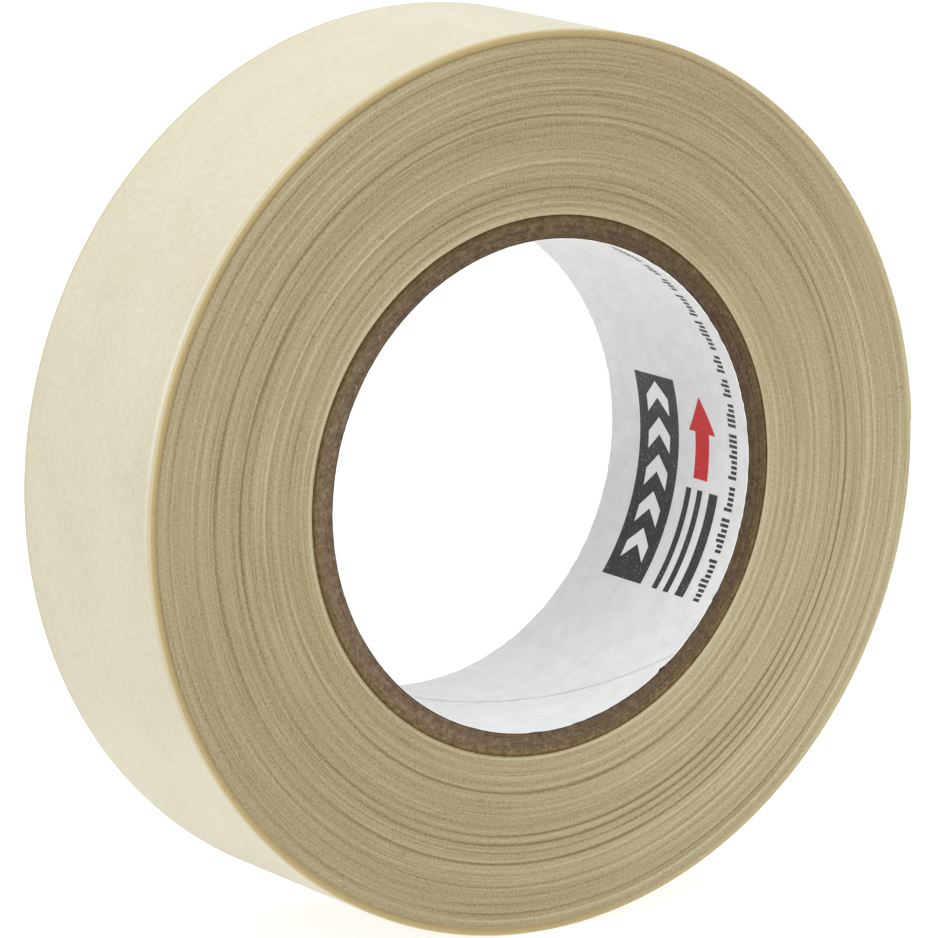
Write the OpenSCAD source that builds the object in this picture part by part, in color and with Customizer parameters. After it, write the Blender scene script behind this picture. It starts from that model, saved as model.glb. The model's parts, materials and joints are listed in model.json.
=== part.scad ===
// Roll of crepe masking tape on a 3 inch paper core.
// The roll stands on its tread. Its axis lies along Y and +Z is up.
// The origin is the centre of the bore, halfway across the tape's width.

/* [Core] */
// Radius of the bore through the core
bore_r = 38.1; // [30:0.1:45]
// Thickness of the white paper liner that faces the bore
liner_t = 0.13; // [0.08:0.01:0.3]
// Thickness of each ply of brown core board
ply_t = 0.52; // [0.3:0.01:0.7]

/* [Tape] */
// Width of the tape and of its core
tape_w = 37.2; // [12:0.1:75]
// Thickness of one turn of tape, adhesive included
turn_t = 0.18; // [0.1:0.01:0.4]
// Mean radius of the whole roll
roll_r = 70; // [55:0.5:85]

/* [Free end] */
// Length of tape that peels off
end_len = 24; // [10:1:32]
// Height of the place where it leaves the roll, in degrees above the axis
end_root_angle = 22; // [0:1:60]
// Film of adhesive left open under the free end
end_gap = 0.02; // [0.01:0.01:0.05]

/* [Quality] */
// Facets in a full circle
$fn = 256; // [48:16:512]

/* [Hidden] */
PLIES = 7;

// The board starts on the liner, and the tape starts on the last ply.
board_r = bore_r + liner_t;
core_r = board_r + PLIES * ply_t;

// Angle that the free end covers, and the angle of the cut that frees its root.
end_arc = end_len / roll_r * 180 / PI;
root_cut = end_gap / roll_r * 180 / PI;
tip_angle = end_root_angle - end_arc;

// The tape's face is a spiral of two half circles a turn. Each half circle's
// centre lies a quarter of the tape's thickness from the axis, on its own side,
// so the halves meet tangent on one side and step by one thickness at the tip.
spiral_shift = turn_t / 4;
spiral_r = roll_r + spiral_shift;

CREPE = "#dfd6bd";
TAPE_EDGE = "#ab9c78";
BOARD = "#74624a";
LINER = "#d9d8d4";

// An outline in the plane of the side face, drawn out across the tape's width.
module across_width() {
    rotate([90, 0, 0])
        linear_extrude(height = tape_w, center = true)
            children();
}

// A round tube between two radii, as wide as the tape.
module tube(inner_r, outer_r) {
    across_width()
        difference() {
            circle(r = outer_r);
            circle(r = inner_r);
        }
}

// Everything inside the spiral whose upper half circle has radius r.
// The step lies on +X.
module spiral_disc(r) {
    reach = 2 * r;
    intersection() {
        translate([spiral_shift, 0])
            circle(r = r);
        translate([-reach, 0])
            square([2 * reach, reach]);
    }
    intersection() {
        translate([-spiral_shift, 0])
            circle(r = r - 2 * spiral_shift);
        translate([-reach, -reach])
            square([2 * reach, reach]);
    }
}

// A wedge from the tip's angle up to the given angle past it.
module wedge(angle) {
    reach = 2 * roll_r;
    polygon([
        [0, 0],
        [reach, 0],
        [reach * cos(angle), reach * sin(angle)]
    ]);
}

// The paper that faces the bore.
module core_liner() {
    color(LINER)
        tube(bore_r, board_r);
}

// One ply of board, counted outward from the liner.
module core_ply(n) {
    color(BOARD)
        tube(board_r + (n - 1) * ply_t, board_r + n * ply_t);
}

// All the turns under the last one, held together by their own adhesive.
module wound_pack() {
    color(TAPE_EDGE)
        across_width()
            difference() {
                rotate(tip_angle)
                    spiral_disc(spiral_r - turn_t);
                circle(r = core_r);
            }
}

// The last turn, from the root of the free end back round to its tip.
module outer_turn() {
    color(CREPE)
        across_width()
            rotate(tip_angle)
                difference() {
                    spiral_disc(spiral_r);
                    spiral_disc(spiral_r - turn_t);
                    wedge(end_arc);
                }
}

// The free end, stuck down at rest. It peels about its root's outer edge.
module tape_end() {
    color(CREPE)
        across_width()
            rotate(tip_angle)
                intersection() {
                    difference() {
                        spiral_disc(spiral_r);
                        spiral_disc(spiral_r - turn_t + end_gap);
                    }
                    wedge(end_arc - root_cut);
                }
}

core_liner();
for (n = [1 : PLIES])
    core_ply(n);
wound_pack();
outer_turn();
tape_end();
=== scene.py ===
"""Looks of a roll of crepe masking tape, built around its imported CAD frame."""

import json
import math

import bpy
import numpy as np
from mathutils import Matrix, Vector


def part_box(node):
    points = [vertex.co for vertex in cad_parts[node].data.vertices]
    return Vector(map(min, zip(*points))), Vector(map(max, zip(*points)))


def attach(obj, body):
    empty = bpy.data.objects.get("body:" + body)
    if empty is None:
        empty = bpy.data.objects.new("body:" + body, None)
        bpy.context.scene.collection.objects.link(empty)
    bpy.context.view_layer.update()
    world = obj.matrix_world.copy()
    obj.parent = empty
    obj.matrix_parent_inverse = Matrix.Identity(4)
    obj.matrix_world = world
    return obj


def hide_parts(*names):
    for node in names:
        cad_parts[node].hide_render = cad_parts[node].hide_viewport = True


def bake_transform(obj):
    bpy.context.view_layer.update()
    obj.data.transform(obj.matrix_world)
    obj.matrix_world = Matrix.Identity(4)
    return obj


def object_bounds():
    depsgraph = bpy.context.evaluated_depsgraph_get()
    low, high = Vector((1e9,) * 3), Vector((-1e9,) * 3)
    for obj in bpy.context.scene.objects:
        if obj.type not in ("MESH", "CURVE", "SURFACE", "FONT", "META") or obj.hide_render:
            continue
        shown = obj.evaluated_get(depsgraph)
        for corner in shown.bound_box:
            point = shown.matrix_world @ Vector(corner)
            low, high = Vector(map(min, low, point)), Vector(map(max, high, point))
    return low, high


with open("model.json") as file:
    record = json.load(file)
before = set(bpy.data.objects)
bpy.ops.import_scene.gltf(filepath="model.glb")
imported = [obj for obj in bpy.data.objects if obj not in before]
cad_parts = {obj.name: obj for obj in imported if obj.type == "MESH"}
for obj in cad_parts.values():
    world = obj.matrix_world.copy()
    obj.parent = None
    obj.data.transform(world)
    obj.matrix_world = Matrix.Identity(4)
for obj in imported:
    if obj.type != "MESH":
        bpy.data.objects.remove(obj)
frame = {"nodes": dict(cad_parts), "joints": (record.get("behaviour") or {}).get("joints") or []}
CAD_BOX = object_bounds()
MM = 0.001
TURN = 2 * math.pi
rng = np.random.default_rng(11)

# ---------------------------------------------------------------- sizes


def radii(node):
    """Smallest and largest distance of a CAD node from the roll's axis."""
    co = np.array([v.co for v in frame["nodes"][node].data.vertices])
    rho = np.hypot(co[:, 0], co[:, 2])
    return float(rho.min()), float(rho.max())


PLIES = 7
BORE_R, BOARD_R = radii("core_liner")
CORE_R = radii(f"core_ply_{PLIES}")[1]
HALF_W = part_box("outer_turn")[1].y
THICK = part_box("outer_turn")[1].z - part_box("wound_pack")[1].z
ROLL_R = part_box("outer_turn")[1].z - THICK / 4
ROOT = Vector(frame["joints"][0]["pos_m"])
ROOT_ANGLE = math.atan2(ROOT.z, ROOT.x)
TIP_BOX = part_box("tape_end")
TIP_ANGLE = math.atan2(TIP_BOX[0].z, TIP_BOX[1].x)
END_ARC = ROOT_ANGLE - TIP_ANGLE
END_GAP = 0.02 * MM     # the adhesive film under the free end
SEAM_LEAN = -math.radians(1) / (0.548 * MM)   # radians the liner's seam turns for a metre along

FACE_INSET = 0.1 * MM   # mean depth of the wound edges under the CAD face
RIM_ROUND = 0.3 * MM    # how far the outermost turns are rounded over
# The yellowed rim starts and ends here, in mm from the axis.
RIM_LOW, RIM_HIGH = 68.85, 69.8


def spiral_r(phi):
    """Radius of the tape's face, phi radians round from its tip."""
    phi = np.asarray(phi, float)
    swing = THICK / 4 * (1 + np.cos(phi))
    return np.where(phi <= math.pi, ROLL_R + swing, ROLL_R - swing)


def rim_recess(depth):
    """How far the rounded rim is drawn in, at a depth under the tread."""
    up = np.clip(RIM_ROUND - depth, 0, RIM_ROUND)
    return RIM_ROUND - np.sqrt(RIM_ROUND ** 2 - up ** 2)


# ---------------------------------------------------------------- numbers


def smooth_noise(shape, cells):
    """Periodic noise of unit spread whose blobs are about `cells` samples wide."""
    out = np.fft.fftn(rng.standard_normal(shape))
    for axis, cell in enumerate(cells):
        k = np.fft.fftfreq(shape[axis])
        fall = np.exp(-2 * (math.pi * k * cell / 2) ** 2)
        out *= fall.reshape([-1 if a == axis else 1 for a in range(len(shape))])
    out = np.fft.ifftn(out).real
    return (out - out.mean()) / out.std()


def ease(x, low, high):
    """0 below low, 1 above high, smooth between."""
    t = np.clip((np.asarray(x, float) - low) / (high - low), 0, 1)
    return t * t * (3 - 2 * t)


def toward(theta, degrees, lobes=1):
    """1 in the given direction round the roll, and -1 away from it."""
    return np.cos(lobes * theta - math.radians(degrees))


def polar(rho, theta, y):
    """Points from their distance to the roll's axis, angle round it and place along it."""
    return np.stack(np.broadcast_arrays(rho * np.cos(theta), y, rho * np.sin(theta)), -1)


# ---------------------------------------------------------------- meshes


def loft(name, points, closed, col_u, row_v, tones=None, row_slots=None):
    """One closed mesh from columns of closed outlines, points[column, row].

    closed joins the last column to the first. col_u and row_v are the UV of each
    column and row, with one more of each for the seam. tones are point values by
    name, and row_slots is the material slot of each row's faces.
    """
    cols, rows = points.shape[:2]
    i = np.arange(cols if closed else cols - 1)[:, None]
    j = np.arange(rows)[None, :]
    i2, j2 = (i + 1) % cols, (j + 1) % rows
    quads = np.stack(np.broadcast_arrays(
        i * rows + j, i2 * rows + j, i2 * rows + j2, i * rows + j2), -1).reshape(-1, 4)
    uv = np.stack(np.broadcast_arrays(
        np.stack(np.broadcast_arrays(col_u[i], col_u[i + 1], col_u[i + 1], col_u[i]), -1),
        np.stack(np.broadcast_arrays(row_v[j], row_v[j], row_v[j + 1], row_v[j + 1]), -1),
    ), -1).reshape(-1, 2)
    co = points.reshape(-1, 3)
    a, b, c, d = (co[quads[:, k]] for k in range(4))
    volume = np.einsum("ij,ij->i", a, np.cross(b, c) + np.cross(c, d)).sum()
    faces = quads.tolist()
    flip = volume < 0
    if flip:
        faces = quads[:, ::-1].tolist()
        uv = uv.reshape(-1, 4, 2)[:, ::-1].reshape(-1, 2)
    slots = np.broadcast_to(
        np.zeros(rows, int) if row_slots is None else row_slots, (len(i), rows)).ravel()
    loops = [uv]
    if not closed:
        first = list(range(rows))
        last = [(cols - 1) * rows + k for k in range(rows)]
        for ring, u, turned in ((first, col_u[0], not flip), (last, col_u[cols - 1], flip)):
            order = ring[::-1] if turned else ring
            faces.append(order)
            loops.append(np.array([[u, row_v[k % rows]] for k in order]))
        slots = np.concatenate([slots, [0, 0]])
    mesh = bpy.data.meshes.new(name)
    mesh.from_pydata(co.tolist(), [], faces)
    mesh.polygons.foreach_set("material_index", slots.astype(np.int32))
    layer = mesh.uv_layers.new(name="along")
    layer.data.foreach_set("uv", np.concatenate(loops).astype(np.float32).ravel())
    for tone, values in (tones or {}).items():
        at = mesh.attributes.new(tone, "FLOAT", "POINT")
        at.data.foreach_set("value", np.asarray(values, np.float32).ravel())
    mesh.polygons.foreach_set("use_smooth", np.ones(len(mesh.polygons), bool))
    mesh.validate()
    mesh.set_sharp_from_angle(angle=math.radians(50))
    obj = bpy.data.objects.new(name, mesh)
    bpy.context.scene.collection.objects.link(obj)
    return obj


# ---------------------------------------------------------------- materials


class Shader:
    """A material and the few node calls that its recipe needs."""

    def __init__(self, name, **sockets):
        self.material = bpy.data.materials.new(name)
        self.material.use_nodes = True
        self.tree = self.material.node_tree
        self.bsdf = self.tree.nodes["Principled BSDF"]
        for key, value in sockets.items():
            self.bsdf.inputs[key.replace("_", " ")].default_value = value

    def put(self, kind, inputs, out=0, **settings):
        n = self.tree.nodes.new("ShaderNode" + kind)
        for key, value in settings.items():
            setattr(n, key, value)
        for key, value in inputs.items():
            if isinstance(value, bpy.types.NodeSocket):
                self.tree.links.new(value, n.inputs[key])
            else:
                n.inputs[key].default_value = value
        return n.outputs[out]

    def calc(self, operation, *values, clamp=False):
        return self.put("Math", dict(enumerate(values)), operation=operation, use_clamp=clamp)

    def vector(self, x, y, z):
        return self.put("CombineXYZ", {0: x, 1: y, 2: z})

    def noise(self, vector, scale, detail=3.0, rough=0.5):
        inputs = {"Vector": vector, "Scale": scale, "Detail": detail, "Roughness": rough}
        return self.put("TexNoise", inputs, out="Fac")

    def ramp(self, factor, *stops):
        n = self.tree.nodes.new("ShaderNodeValToRGB")
        self.tree.links.new(factor, n.inputs[0])
        els = n.color_ramp.elements
        while len(els) < len(stops):
            els.new(0.5)
        for el, (place, colour) in zip(els, stops):
            el.position = place
            el.color = (*colour, 1) if isinstance(colour, tuple) else (colour,) * 3 + (1,)
        return n.outputs[0]

    def range(self, value, low, high, to_low=0.0, to_high=1.0):
        return self.put("MapRange", {0: value, 1: low, 2: high, 3: to_low, 4: to_high})

    def mix(self, factor, a, b, blend="MIX"):
        return self.put("Mix", {0: factor, 6: a, 7: b}, out=2, data_type="RGBA", blend_type=blend)

    def attribute(self, name):
        return self.put("Attribute", {}, out="Fac", attribute_name=name)

    def bump(self, height, distance, strength=1.0, under=None):
        inputs = {"Height": height, "Distance": distance, "Strength": strength}
        if under is not None:
            inputs["Normal"] = under
        return self.put("Bump", inputs)

    def scale(self, value, factor):
        return self.calc("MULTIPLY", value, factor)

    def total(self, *terms):
        """Sum of (value, weight) pairs."""
        result = None
        for value, weight in terms:
            part = self.scale(value, weight)
            result = part if result is None else self.calc("ADD", result, part)
        return result

    def swing(self, noise):
        """A noise's departure from its middle value."""
        return self.calc("SUBTRACT", noise, 0.5)

    def polar(self):
        """Cosine, sine, radius in mm and place of a point round the roll's axis."""
        place = self.put("TexCoord", {}, out="Object")
        x = self.put("SeparateXYZ", {0: place}, out=0)
        z = self.put("SeparateXYZ", {0: place}, out=2)
        squares = self.calc("ADD", self.calc("MULTIPLY", x, x), self.calc("MULTIPLY", z, z))
        rho = self.calc("SQRT", squares)
        return (self.calc("DIVIDE", x, rho), self.calc("DIVIDE", z, rho),
                self.calc("MULTIPLY", rho, 1 / MM), place)

    def round_roll(self, cos, sin, rho, along, across):
        """A place for noise, so many blobs round the roll and so many to a mm of radius."""
        return self.vector(self.scale(cos, along), self.scale(sin, along), self.scale(rho, across))

    def finish(self, colour, roughness, normal):
        self.tree.links.new(colour, self.bsdf.inputs["Base Color"])
        self.tree.links.new(roughness, self.bsdf.inputs["Roughness"])
        self.tree.links.new(normal, self.bsdf.inputs["Normal"])
        return self.material


def srgb(r, g, b):
    """Linear colour of an 8 bit one."""
    return tuple(((v / 255 + 0.055) / 1.055) ** 2.4 for v in (r, g, b))


def tape_edge_material():
    s = Shader("tape_edges", Specular_IOR_Level=0.25)
    cos, sin, rho, place = s.polar()
    tone = s.attribute("tone")
    rim = s.attribute("rim")
    # thin lines that run round the roll and fade in and out
    fine = s.noise(s.round_roll(cos, sin, rho, 2.2, 3.4), 1.0, 4.0, 0.65)
    broad = s.noise(s.round_roll(cos, sin, rho, 1.3, 0.5), 1.0, 2.0)
    grain = s.noise(place, 2600.0, 3.0, 0.6)
    speck = s.noise(place, 900.0, 1.0, 0.5)
    thread = s.noise(s.round_roll(cos, sin, rho, 3.0, 5.6), 1.0, 1.0, 0.5)
    # tone holds the rings, painted lighter where proud and darker where sunk as painted light and
    # shade, random tone, and the painted light round the roll
    value = s.total((tone, 0.40), (s.swing(fine), 0.6), (s.swing(thread), 0.7),
                    (s.swing(broad), 0.3), (s.swing(grain), 1.35))
    value = s.calc("ADD", value, 0.5, clamp=True)
    colour = s.ramp(value, (0.0, srgb(120, 105, 72)), (0.3, srgb(142, 129, 96)),
                    (0.5, srgb(153, 140, 107)), (0.7, srgb(160, 148, 117)),
                    (1.0, srgb(173, 164, 135)))
    # the yellowed rim, painted darker toward its inner side: the yellow is the tape's own, the
    # gradient is painted shade of the rounded-over edge
    rim_colour = s.ramp(s.range(rho, RIM_LOW, RIM_HIGH),
                        (0.0, srgb(149, 131, 91)), (1.0, srgb(178, 160, 113)))
    colour = s.mix(rim, colour, rim_colour)
    dark = s.ramp(speck, (0.0, 1.0), (0.22, 1.0), (0.27, 0.0))
    colour = s.mix(s.calc("MULTIPLY", dark, 0.3), colour, (*srgb(99, 80, 52), 1))
    rough = s.range(grain, 0.3, 0.7, 0.72, 0.92)
    normal = s.bump(fine, 0.10 * MM, 0.8)
    normal = s.bump(thread, 0.05 * MM, 0.8, normal)
    normal = s.bump(grain, 0.05 * MM, 0.6, normal)
    return s.finish(colour, rough, normal)


def crepe_material():
    s = Shader("crepe_paper", Specular_IOR_Level=0.35, Sheen_Weight=0.25, Sheen_Roughness=0.5)
    uv = s.put("UVMap", {}, uv_map="along")
    u = s.calc("MULTIPLY", s.put("SeparateXYZ", {0: uv}, out=0), 1 / MM)
    v = s.calc("MULTIPLY", s.put("SeparateXYZ", {0: uv}, out=1), 1 / MM)
    ridges = s.noise(s.vector(s.scale(u, 1.6), s.scale(v, 0.55), 0.0), 1.0, 4.0, 0.55)
    mottle = s.noise(s.vector(s.scale(u, 0.6), s.scale(v, 1.3), 7.0), 1.0, 3.0)
    cloud = s.noise(s.vector(s.scale(u, 0.06), s.scale(v, 0.09), 3.0), 1.0, 2.0)
    fibre = s.noise(s.vector(u, v, 1.0), 5.0, 2.0, 0.6)
    value = s.total((ridges, 0.3), (mottle, 0.4), (cloud, 0.3))
    colour = s.ramp(value, (0.3, srgb(196, 187, 160)), (0.5, srgb(205, 197, 172)),
                    (0.7, srgb(211, 205, 183)))
    # yellowed long edges of the tape, and painted shade along its cut end
    edge = s.attribute("rim")
    colour = s.mix(edge, colour, (*srgb(190, 172, 126), 1))
    # a painted highlight along one stretch of the tread's front edge
    painted_highlight = s.attribute("painted_highlight")
    colour = s.mix(painted_highlight, colour, (*srgb(222, 218, 199), 1))
    rough = s.range(fibre, 0.3, 0.7, 0.55, 0.8)
    normal = s.bump(ridges, 0.2 * MM, 0.8)
    normal = s.bump(fibre, 0.03 * MM, 0.5, normal)
    return s.finish(colour, rough, normal)


def adhesive_material():
    s = Shader("rubber_adhesive", Specular_IOR_Level=0.5)
    place = s.put("TexCoord", {}, out="Object")
    fine = s.noise(place, 1500.0, 3.0, 0.6)
    cloud = s.noise(place, 150.0, 2.0)
    value = s.total((fine, 0.5), (cloud, 0.5))
    colour = s.ramp(value, (0.3, srgb(190, 172, 126)), (0.7, srgb(204, 188, 145)))
    rough = s.range(fine, 0.3, 0.7, 0.3, 0.45)
    return s.finish(colour, rough, s.bump(fine, 0.04 * MM, 0.5))


def board_material():
    s = Shader("core_board_ends", Specular_IOR_Level=0.2)
    cos, sin, rho, place = s.polar()
    fibre = s.noise(place, 2200.0, 4.0, 0.7)
    clump = s.noise(place, 700.0, 3.0, 0.6)
    streak = s.noise(s.round_roll(cos, sin, rho, 60.0, 3.0), 1.0, 3.0, 0.6)
    value = s.total((fibre, 0.45), (clump, 0.3), (streak, 0.25))
    colour = s.ramp(value, (0.3, srgb(58, 46, 34)), (0.5, srgb(95, 80, 64)),
                    (0.7, srgb(130, 116, 96)))
    # painted light: the board is painted paler on the left than on the right
    side = s.calc("ADD", s.total((cos, -0.5), (sin, -0.14)), 0.5)
    painted_side_light = s.ramp(side, (0.0, (0.76, 0.74, 0.71)), (1.0, (1.36, 1.43, 1.52)))
    colour = s.mix(1.0, colour, painted_side_light, "MULTIPLY")
    # painted shade: dark lines in the gaps at the board's inner edge, against the liner, and at its
    # outer edge, against the tape
    outward = s.range(rho, BOARD_R / MM, CORE_R / MM)
    tint = s.ramp(outward, (0.0, srgb(110, 98, 80)), (0.06, srgb(236, 226, 214)),
                  (0.5, srgb(255, 250, 240)), (0.85, srgb(250, 248, 215)),
                  (0.97, srgb(190, 180, 140)), (1.0, srgb(120, 105, 80)))
    colour = s.mix(1.0, colour, tint, "MULTIPLY")
    # painted shade and light on the outermost ply: darker high on the left, lighter low on the
    # right
    turned = s.calc("ADD", s.total((cos, 0.43), (sin, -0.26)), 0.5)
    painted_ply_shade = s.ramp(turned, (0.0, (0.73, 0.66, 0.50)), (1.0, (1.42, 1.36, 1.2)))
    outermost = s.range(rho, CORE_R / MM - 0.95, CORE_R / MM - 0.5)
    colour = s.mix(outermost, colour, painted_ply_shade, "MULTIPLY")
    rough = s.range(fibre, 0.3, 0.7, 0.8, 0.98)
    normal = s.bump(value, 0.18 * MM, 0.8)
    return s.finish(colour, rough, normal)


def liner_material():
    s = Shader("liner_paper", Specular_IOR_Level=0.35)
    uv = s.put("UVMap", {}, uv_map="along")
    v = s.calc("MULTIPLY", s.put("SeparateXYZ", {0: uv}, out=1), 1 / MM)
    u = s.calc("MULTIPLY", s.put("SeparateXYZ", {0: uv}, out=0), 1 / MM)
    u = s.calc("ADD", u, s.scale(v, SEAM_LEAN * BORE_R))   # the columns lean with the seam
    fibre = s.noise(s.vector(s.calc("MULTIPLY", u, 1.3), v, 0.0), 2.2, 4.0, 0.6)
    cloud = s.noise(s.vector(u, v, 4.0), 0.35, 3.0, 0.6)
    # the tone attribute is painted shade along the seam
    value = s.total((fibre, 0.45), (cloud, 0.55), (s.attribute("tone"), -0.2))
    colour = s.ramp(value, (0.3, srgb(206, 205, 203)), (0.5, srgb(216, 216, 215)),
                    (0.7, srgb(224, 224, 224)))
    rough = s.range(fibre, 0.3, 0.7, 0.5, 0.75)
    normal = s.bump(fibre, 0.03 * MM, 0.5)
    normal = s.bump(cloud, 0.12 * MM, 0.4, normal)
    return s.finish(colour, rough, normal)


def ink_material(name, dark, light):
    s = Shader(name, Specular_IOR_Level=0.35)
    place = s.put("TexCoord", {}, out="Object")
    fine = s.noise(place, 2600.0, 3.0, 0.6)
    patch = s.noise(place, 320.0, 2.0)
    value = s.total((fine, 0.8), (patch, 0.2))
    colour = s.ramp(value, (0.35, dark), (0.55, dark), (0.68, light))
    rough = s.range(fine, 0.3, 0.7, 0.45, 0.7)
    return s.finish(colour, rough, s.bump(fine, 0.02 * MM, 0.5))


# ---------------------------------------------------------------- the wound tape

RINGS = 34          # rings that the winder left on each side face, drawn at random
RING_SEED = 5
FIRST_TONE = 1.3    # the first turns stand proud against the core
LAST_TONE = -0.8    # the turns just inside the yellowed rim have sunk
STEP_FOR_TONE, STEP_MAX = 0.02, 0.07   # mm that a ring of tone 1 stands proud, and the most


def winder_rings():
    """Each ring's place in mm out from the core, its tone, and its width in mm.

    A light ring, above 0, is a turn that stands proud. A dark one has sunk.
    The tone is also painted into the colour: lighter on proud turns as painted light, darker on
    sunk ones as painted shade.
    """
    draw = np.random.default_rng(RING_SEED)
    last = RIM_LOW - CORE_R / MM
    gap = last / RINGS
    number = np.arange(RINGS)
    places = (number + 0.45 + draw.uniform(-0.35, 0.35, RINGS)) * gap
    tones = (0.2 + 0.8 * draw.random(RINGS) ** 2.5) * np.where(number % 2, -1, 1)
    widths = draw.uniform(0.17, 0.3, RINGS)
    places[0], tones[0] = 0.45 * gap, FIRST_TONE
    places[-1], tones[-1] = last, LAST_TONE
    return zip(places, tones, widths)


def wound_pack():
    cols, rows = 318, 156
    phi = np.append(np.arange(cols) * TURN / cols, TURN - 0.03 * MM / ROLL_R)[:, None]
    theta = phi + TIP_ANGLE
    top = spiral_r(phi) - THICK
    share = np.linspace(0, 1, rows)[None, :]
    rho = CORE_R + share * (top - CORE_R)
    out = (rho - CORE_R) / MM
    n = cols + 1
    wobble = smooth_noise((n, 1), (60, 1)) * 0.06
    tone = np.zeros((n, rows))
    for place, light, wide in winder_rings():
        fade = np.clip(1 + 0.45 * smooth_noise((n, 1), (70, 1)), 0.05, 1.9)
        shift = wobble + 0.05 * smooth_noise((n, 1), (90, 1))
        tone += 1.25 * light * fade * np.exp(-((out - place - shift) / (0.72 * wide)) ** 2)
    tone += 0.12 * smooth_noise((n, rows), (60, 1.1))
    tone += 0.05 * smooth_noise((n, rows), (8, 1.1))
    # the rings fade at the upper right and the lower left
    tone *= 0.95 + 0.105 * toward(theta, -67) - 0.28 * np.sin(2 * theta)
    step = np.clip(tone * STEP_FOR_TONE, -STEP_MAX, STEP_MAX) * MM
    # slow changes round the roll, which are in the colour alone: partly painted light,
    # brighter toward the lower right and darker toward the top, and partly the tape's own tone;
    # the first turns are made darker toward the bottom and lighter toward the top
    tone += 0.2 * (toward(theta, 315) + toward(theta, 300, 2))
    first_turns = np.exp(-((out - 0.5) / 0.5) ** 2)
    tone -= 0.6 * first_turns * toward(theta, 255)
    depth = spiral_r(phi) - rho
    recess = rim_recess(depth)
    face = HALF_W - FACE_INSET * (1 - ease(share, 0.96, 1.0)) - recess
    front = -face - step
    rear = face - step
    # the rim is yellowest on the left, and pale instead on the right
    sector = ease(toward(theta, 180), -0.6, 0.2)
    outer = ease(rho / MM, RIM_LOW - 0.2, RIM_LOW + 0.15)
    rim = outer * (0.25 + 0.75 * sector)
    tone += 0.9 * outer * (1 - sector)
    # outline: front face outward, then the rear face inward
    r = np.concatenate([rho, rho[:, ::-1]], 1)
    y = np.concatenate([front, rear[:, ::-1]], 1)
    tones = np.concatenate([tone, tone[:, ::-1] * -0.8], 1)
    rims = np.concatenate([rim, rim[:, ::-1]], 1)
    points = polar(r, theta, y)
    slots = np.zeros(2 * rows, int)
    slots[rows - 1] = 1   # the face that the last turn is wound on
    col_u = np.append(phi[:, 0], TURN) * ROLL_R
    row_v = np.concatenate([front[0], rear[0, ::-1], front[0, :1]])
    obj = loft("wound_turns", points, True, col_u, row_v,
               {"tone": tones, "rim": rims, "painted_highlight": tones * 0}, slots)
    obj.data.materials.append(EDGE)
    obj.data.materials.append(CREPE)
    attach(obj, "roll")
    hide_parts("wound_pack")


EDGE_WANDER = 0.025 * MM          # how far a long edge of the tape strays inward
MARGIN = 1.2 * MM                 # width along each edge that strays with it
HIGHLIGHT_ANGLE, HIGHLIGHT_SPREAD = math.radians(160), 0.28   # where the painted highlight on the tread's front edge is centred, and its spread in radians
WRINKLE = 0.022 * MM              # depth of the deepest crepe wrinkles


def tape_strip(name, phi, under, relief):
    """A length of tape from phi[0] to phi[-1], its edges rounded over.

    under is the gap it keeps from the turn below, and relief the wrinkles' depth.
    """
    arc = 5
    # depth under the face and inset of the rounded edge, from the adhesive to the face
    lean = math.acos(max(0.0, 1 - THICK / RIM_ROUND))
    bend = np.linspace(math.pi / 2 - lean, math.pi / 2, arc)
    down = RIM_ROUND * (1 - np.sin(bend))
    inset = RIM_ROUND * (1 - np.cos(bend))
    flat = relief.shape[1]
    y_flat = np.linspace(-(HALF_W - RIM_ROUND), HALF_W - RIM_ROUND, flat + 2)[1:-1]
    depth_rows = np.concatenate([down, np.zeros(flat), down[::-1]])
    y_rows = np.concatenate([-(HALF_W - inset), y_flat, (HALF_W - inset)[::-1]])
    bumps = np.concatenate([np.zeros((len(phi), arc)), relief, np.zeros((len(phi), arc))], 1)
    face = spiral_r(phi)[:, None]
    r = face - depth_rows[None, :] - bumps
    r[:, 0] = face[:, 0] - THICK + under
    r[:, -1] = face[:, 0] - THICK + under
    theta = (phi + TIP_ANGLE)[:, None]
    # each cut edge wanders a little inward, and drags its outer margin with it
    wander = smooth_noise((len(phi), 1), (40, 1)) * EDGE_WANDER
    hug = np.clip((np.abs(y_rows) - (HALF_W - MARGIN)) / MARGIN, 0, 1)[None, :]
    y = y_rows[None, :] - hug * np.abs(wander) * np.sign(y_rows)[None, :]
    # the long edges are yellowed, the cut end carries the darker rim tint as painted shade,
    # and one stretch of the front edge carries a painted highlight
    sector = 0.5 + 0.5 * toward(theta, 215)
    edge = ease(np.abs(y_rows), HALF_W - 0.75 * MM, HALF_W - 0.3 * MM)[None, :]
    # painted shade along the cut end, in the rim's darker tint
    cut_end_shade = 0.8 * (1 - ease(phi * ROLL_R, 0.1 * MM, 0.6 * MM))[:, None]
    rim = np.maximum(edge * (1 - 0.44 * sector), cut_end_shade)
    lit = np.exp(-((theta - HIGHLIGHT_ANGLE) / HIGHLIGHT_SPREAD) ** 2)
    highlight_band = ease(-y_rows, HALF_W - 1.7 * MM, HALF_W - 0.9 * MM)[None, :] * (1 - edge)
    tones = {"rim": rim, "painted_highlight": highlight_band * lit * 0.9, "tone": rim * 0}
    col_u = phi * ROLL_R
    row_v = np.append(y_rows, y_rows[0])
    slots = np.zeros(len(y_rows), int)
    slots[-1] = 1   # the flat under side, from the last row back to the first
    obj = loft(name, polar(r, theta, y), False, col_u, row_v, tones, slots)
    obj.data.materials.append(CREPE)
    obj.data.materials.append(ADHESIVE)
    return obj


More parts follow.
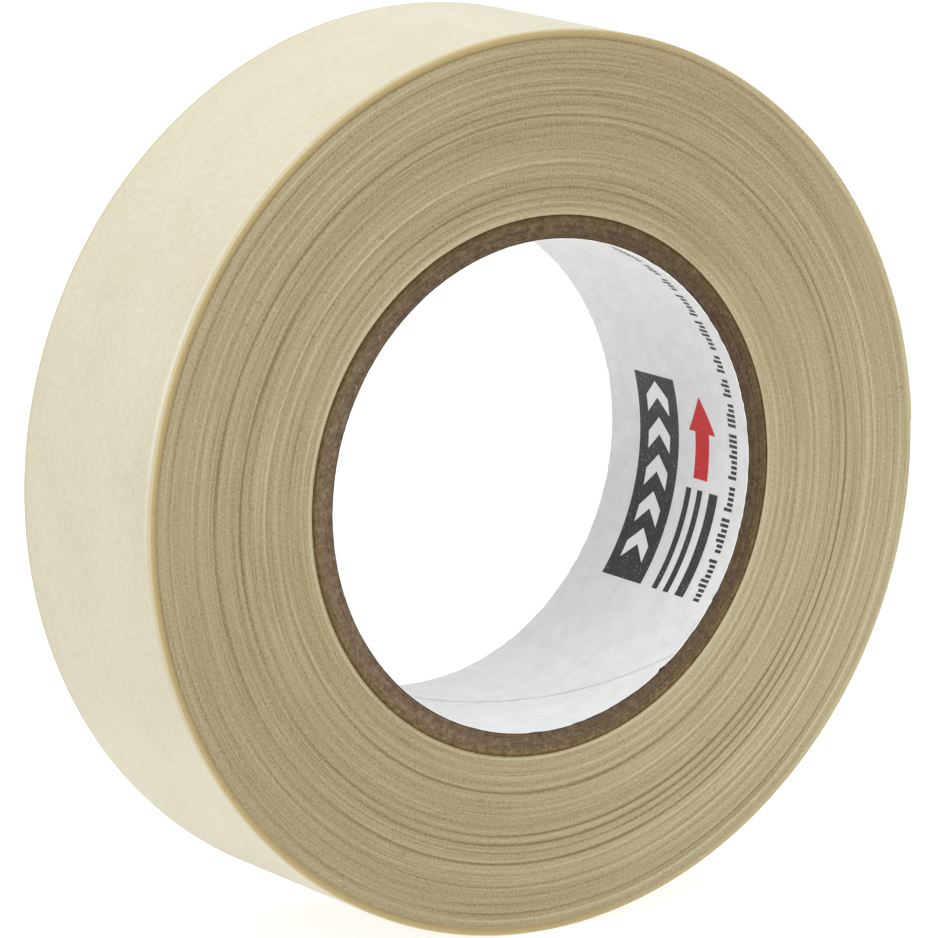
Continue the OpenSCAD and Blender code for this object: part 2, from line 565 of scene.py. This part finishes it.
def crepe_relief(cols, rows, step_u, step_v):
    """Depth of the crepe's wrinkles under the face, which run mostly across the tape."""
    long = smooth_noise((cols, rows), (0.9 * MM / step_u, 2.4 * MM / step_v))
    short = smooth_noise((cols, rows), (1.6 * MM / step_u, 1.1 * MM / step_v))
    return np.clip(0.5 + 0.2 * long + 0.2 * short, 0, 1) * WRINKLE


def outer_turn():
    cols, rows = 1250, 48
    phi = np.linspace(END_ARC, TURN, cols)
    relief = crepe_relief(cols, rows, TURN * ROLL_R / cols, 2 * HALF_W / rows)
    obj = tape_strip("last_turn", phi, 0.0, relief)
    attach(obj, "roll")
    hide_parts("outer_turn")


def tape_end():
    cols, rows = 90, 48
    phi = np.linspace(END_ARC, 0, cols)
    relief = crepe_relief(cols, rows, END_ARC * ROLL_R / cols, 2 * HALF_W / rows)
    obj = tape_strip("free_end", phi, END_GAP, relief)
    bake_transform(obj)
    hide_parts("tape_end")


# ---------------------------------------------------------------- the core


def board_ply(number):
    cols, rows = 720, 5
    low, high = radii(f"core_ply_{number}")
    theta = (np.arange(cols) * TURN / cols)[:, None]
    rho = np.linspace(low, high, rows)[None, :]

    def end():
        level = 0.06 + 0.04 * rng.standard_normal()
        slow = smooth_noise((cols, 1), (80, 1)) * 0.02
        fuzz = smooth_noise((cols, rows), (1.4, 1.0)) * 0.025
        clump = smooth_noise((cols, rows), (6, 1.5)) * 0.02
        return np.clip(level + slow + fuzz + clump, 0.0, 0.22) * MM

    front = -(HALF_W - FACE_INSET) + end()
    rear = (HALF_W - FACE_INSET) - end()
    r = np.broadcast_to(np.concatenate([rho, rho[:, ::-1]], 1), (cols, 2 * rows))
    y = np.concatenate([front, rear[:, ::-1]], 1)
    col_u = np.arange(cols + 1) * TURN / cols * high
    row_v = np.append(y[0], y[0, 0])
    obj = loft(f"board_ply_{number}", polar(r, theta, y), True, col_u, row_v)
    obj.data.materials.append(BOARD)
    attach(obj, "roll")
    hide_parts(f"core_ply_{number}")


# The liner is a strip wound in a helix. Its overlapping edge makes one seam.
SEAM_ANGLE = math.radians(-84)    # where the seam crosses the middle of the width
LAP = 0.13 * MM                   # step where one edge lies over the other
LAP_FADE = math.radians(16)       # how far round the step fades out
NICK_ANGLE = math.radians(-55)    # a small tear in its front edge
LINER_COLS, LINER_ROWS = 600, 64
LINER_WAVES = smooth_noise((LINER_COLS, LINER_ROWS), (34, 14)) * 0.010 * MM


def liner_depth(theta, y):
    """How far the liner's face stands into the bore."""
    past = np.mod(theta - SEAM_ANGLE - SEAM_LEAN * y, TURN)
    lap = LAP * (1 - ease(past, 0.0, LAP_FADE)) * (past < LAP_FADE)
    i = np.mod(theta / TURN * LINER_COLS, LINER_COLS)
    last = LINER_ROWS - 1
    j = np.clip((y / HALF_W + 1) / 2 * last, 0, last - 0.001)
    i0, j0 = np.floor(i).astype(int) % LINER_COLS, np.floor(j).astype(int)
    fi, fj = i - np.floor(i), j - j0
    i1 = (i0 + 1) % LINER_COLS
    w = LINER_WAVES
    waves = ((w[i0, j0] * (1 - fi) + w[i1, j0] * fi) * (1 - fj)
             + (w[i0, j0 + 1] * (1 - fi) + w[i1, j0 + 1] * fi) * fj)
    return lap + waves


def core_liner():
    past = np.arange(LINER_COLS) * TURN / LINER_COLS
    past = np.append(past, TURN - 0.04 * MM / BORE_R)[:, None]
    half = HALF_W - 0.05 * MM
    y = np.broadcast_to(np.linspace(-half, half, LINER_ROWS), (len(past), LINER_ROWS)).copy()
    for side, edge in ((0, 1), (-1, -1)):   # the cut edges are a little ragged
        y[:, side] += edge * 0.08 * MM * np.abs(smooth_noise((len(past),), (3,)))
    theta = SEAM_ANGLE + SEAM_LEAN * y + past + 1e-6
    nick = np.mod(theta[:, 0] - NICK_ANGLE + math.pi, TURN) - math.pi
    y[:, 0] += 0.4 * MM * np.exp(-(nick / math.radians(0.9)) ** 2)
    # painted shade along both sides of the seam's step
    shade = (np.exp(-(past / math.radians(0.9)) ** 2)
             + np.exp(-((TURN - past) / math.radians(0.5)) ** 2))
    tone = np.concatenate([shade + 0 * y, 0 * y], 1)
    face = polar(BORE_R - liner_depth(theta, y), theta, y)
    back = polar(BOARD_R, theta, y)[:, ::-1]
    col_u = np.append(past[:, 0], TURN) * BORE_R
    row_v = np.concatenate([y[0], y[0, ::-1], y[0, :1]])
    outline = np.concatenate([face, back], 1)
    obj = loft("liner_sheet", outline, True, col_u, row_v, {"tone": tone})
    obj.data.materials.append(LINER)
    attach(obj, "roll")
    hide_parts("core_liner")


# ---------------------------------------------------------------- plain print on the liner

INK_LIFT = 0.012 * MM        # how far the ink stands off the liner
PRINT_START = -36.0          # degrees round where every row of the print starts
STRIPES_END = -10.5          # degrees round
TICK_PITCH, TICK_WIDE = 1.25, 0.8   # degrees round
TICK_GAP = 1.3               # degrees more between one run of ticks and the next
TICK_BASE = -15.7            # mm along


def printed(name, shapes, material):
    """Flat shapes laid on the liner.

    Each has a box, which is two angles in degrees and two places in mm along the
    roll, and may have a function that bends the box into another outline.
    """
    verts, faces = [], []
    for shape in shapes:
        a0, a1, y0, y1 = shape["box"]
        na = max(2, int(abs(a1 - a0) * BORE_R / MM * math.pi / 180 / 0.5) + 2)
        ny = max(2, int(abs(y1 - y0) / 0.5) + 2)
        t = np.linspace(0, 1, na)[:, None]
        s = np.linspace(0, 1, ny)[None, :]
        a = a0 + (a1 - a0) * t + 0 * s
        y = y0 + (y1 - y0) * s + 0 * t
        a, y = shape["bend"](a, y, t, s) if "bend" in shape else (a, y)
        theta, along = np.radians(a), y * MM
        rho = BORE_R - liner_depth(theta, along) - INK_LIFT
        base = len(verts)
        verts += polar(rho, theta, along).reshape(-1, 3).tolist()
        for i in range(na - 1):
            for j in range(ny - 1):
                k = base + i * ny + j
                faces.append((k, k + 1, k + ny + 1, k + ny))
    mesh = bpy.data.meshes.new(name)
    mesh.from_pydata(verts, [], faces)
    mesh.polygons.foreach_set("use_smooth", np.ones(len(faces), bool))
    mesh.materials.append(material)
    obj = bpy.data.objects.new(name, mesh)
    bpy.context.scene.collection.objects.link(obj)
    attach(obj, "roll")
    return obj


def arrow_head(a0, a1, y0, y1):
    """A triangle that narrows from its back edge to a point."""
    def bend(a, y, t, s):
        middle = (y0 + y1) / 2
        return a, middle + (y - middle) * (1 - 0.98 * t)
    return {"box": (a0, a1, y0, y1), "bend": bend}


def chevron(a, y0, y1, wide, point):
    """A band across the bar whose middle is pushed along it."""
    def bend(aa, yy, t, s):
        return aa + point * (1 - np.abs(2 * s - 1)), yy
    return {"box": (a, a + wide, y0, y1), "bend": bend}


def liner_print():
    dark = [
        {"box": (PRINT_START, 14.8, 0.0, 10.6)},
        {"box": (PRINT_START, STRIPES_END, -4.4, -3.0)},
        {"box": (PRINT_START, STRIPES_END, -7.4, -6.0)},
        {"box": (PRINT_START, STRIPES_END, -11.5, -9.2)},
    ]
    a = PRINT_START
    while a < 60.0:
        for _ in range(int(rng.integers(4, 10))):
            tall = float(rng.choice((1.5, 2.1)))
            dark.append({"box": (a, a + TICK_WIDE, TICK_BASE, TICK_BASE + tall)})
            a += TICK_PITCH
        a += TICK_GAP
    charcoal = ink_material("print_charcoal", srgb(47, 49, 46), srgb(112, 113, 108))
    printed("print_dark", dark, charcoal)
    marks = [chevron(at, 2.4, 8.2, 4.2, 4.0) for at in (-31.0, -22.0, -13.0, -4.0, 5.0)]
    paper = ink_material("print_paper", srgb(224, 224, 222), srgb(238, 238, 236))
    plain = printed("print_light", marks, paper)
    for v in plain.data.vertices:   # laid over the charcoal bar
        flat = Vector((v.co.x, 0, v.co.z))
        v.co -= flat.normalized() * INK_LIFT
    red = [{"box": (-8.0, 3.2, -8.2, -4.5)}, arrow_head(3.2, 12.0, -9.9, -2.8)]
    brick_red = ink_material("print_brick_red", srgb(190, 26, 30), srgb(214, 78, 74))
    printed("print_red", red, brick_red)


EDGE = tape_edge_material()
CREPE = crepe_material()
ADHESIVE = adhesive_material()
BOARD = board_material()
LINER = liner_material()

wound_pack()
outer_turn()
tape_end()
for ply in range(1, PLIES + 1):
    board_ply(ply)
core_liner()
liner_print()

# ---------------------------------------------------------------- room, light and camera


FLOOR_HALF = 12.0    # metres from the middle to each edge


def floor():
    s = Shader("floor_paper", Specular_IOR_Level=0.1)
    place = s.put("TexCoord", {}, out="Object")
    fine = s.noise(place, 300.0, 2.0)
    colour = s.ramp(fine, (0.0, (0.51, 0.51, 0.51)), (1.0, (0.54, 0.54, 0.54)))
    material = s.finish(colour, s.range(fine, 0.0, 1.0, 0.85, 0.95), s.bump(fine, 0.05 * MM, 0.2))
    s.bsdf.inputs["Emission Color"].default_value = (1.0, 0.998, 0.995, 1)
    s.bsdf.inputs["Emission Strength"].default_value = 0.665
    mesh = bpy.data.meshes.new("floor")
    z = CAD_BOX[0].z
    corners = [(x * FLOOR_HALF, y * FLOOR_HALF, z) for x, y in ((-1, -1), (1, -1), (1, 1), (-1, 1))]
    mesh.from_pydata(corners, [], [(0, 1, 2, 3)])
    mesh.materials.append(material)
    obj = bpy.data.objects.new("floor", mesh)
    bpy.context.scene.collection.objects.link(obj)


VIEW_AZIMUTH = math.radians(33.6)
VIEW_RISE = math.radians(11.65)
VIEW_AWAY = 1.0074
LENS = 250.28
SENSOR = 36
AIM_RIGHT, AIM_UP = -1.33 * MM, -0.35 * MM   # where the camera looks, from the bore's centre

back = Vector((-math.sin(VIEW_AZIMUTH) * math.cos(VIEW_RISE),
               -math.cos(VIEW_AZIMUTH) * math.cos(VIEW_RISE), math.sin(VIEW_RISE)))
right = Vector((math.cos(VIEW_AZIMUTH), -math.sin(VIEW_AZIMUTH), 0))
up = back.cross(right)


def camera():
    data = bpy.data.cameras.new("camera")
    data.sensor_width = SENSOR
    data.lens = LENS
    data.clip_start, data.clip_end = 0.05, 60
    obj = bpy.data.objects.new("camera", data)
    bpy.context.scene.collection.objects.link(obj)
    obj.location = back * VIEW_AWAY
    aim = right * AIM_RIGHT + up * AIM_UP
    obj.rotation_mode = "QUATERNION"
    obj.rotation_quaternion = (aim - obj.location).to_track_quat("-Z", "Y")
    bpy.context.scene.camera = obj


def softbox(name, place, size, energy, colour=(1, 1, 1)):
    """A rectangular light that faces the bore's centre."""
    data = bpy.data.lights.new(name, "AREA")
    data.shape = "RECTANGLE"
    data.size, data.size_y = size
    data.energy = energy
    data.color = colour
    obj = bpy.data.objects.new(name, data)
    bpy.context.scene.collection.objects.link(obj)
    obj.location = place
    obj.rotation_mode = "QUATERNION"
    obj.rotation_quaternion = (-Vector(place)).to_track_quat("-Z", "Y")


def lights():
    world = bpy.data.worlds.new("studio")
    bpy.context.scene.world = world
    world.use_nodes = True
    sky = world.node_tree.nodes["Background"]
    sky.inputs["Color"].default_value = (0.99, 1.0, 1.0, 1)
    sky.inputs["Strength"].default_value = 0.506
    softbox("top_light", back * 0.1 + Vector((0, 0, 1.25)), (1.4, 1.4), 6.4, (0.98, 1.0, 1.02))
    softbox("front_light", back * 0.9 + Vector((0, 0, 1.3)), (1.4, 0.8), 14.5, (0.99, 1.0, 1.01))
    softbox("back_light", back * -1.1 + Vector((0, 0, 0.75)), (1.6, 0.7), 4.2, (0.98, 1.0, 1.02))
    softbox("left_light", back * 0.6 - right * 1.1 + Vector((0, 0, 0.5)), (1.0, 1.0), 2.1)
    softbox("right_light", back * 0.22 + right * 0.28 - up * 0.06, (0.1, 0.1), 0.26)


floor()
camera()
lights()
scene = bpy.context.scene
scene.view_settings.view_transform = "Standard"
scene.view_settings.look = "None"
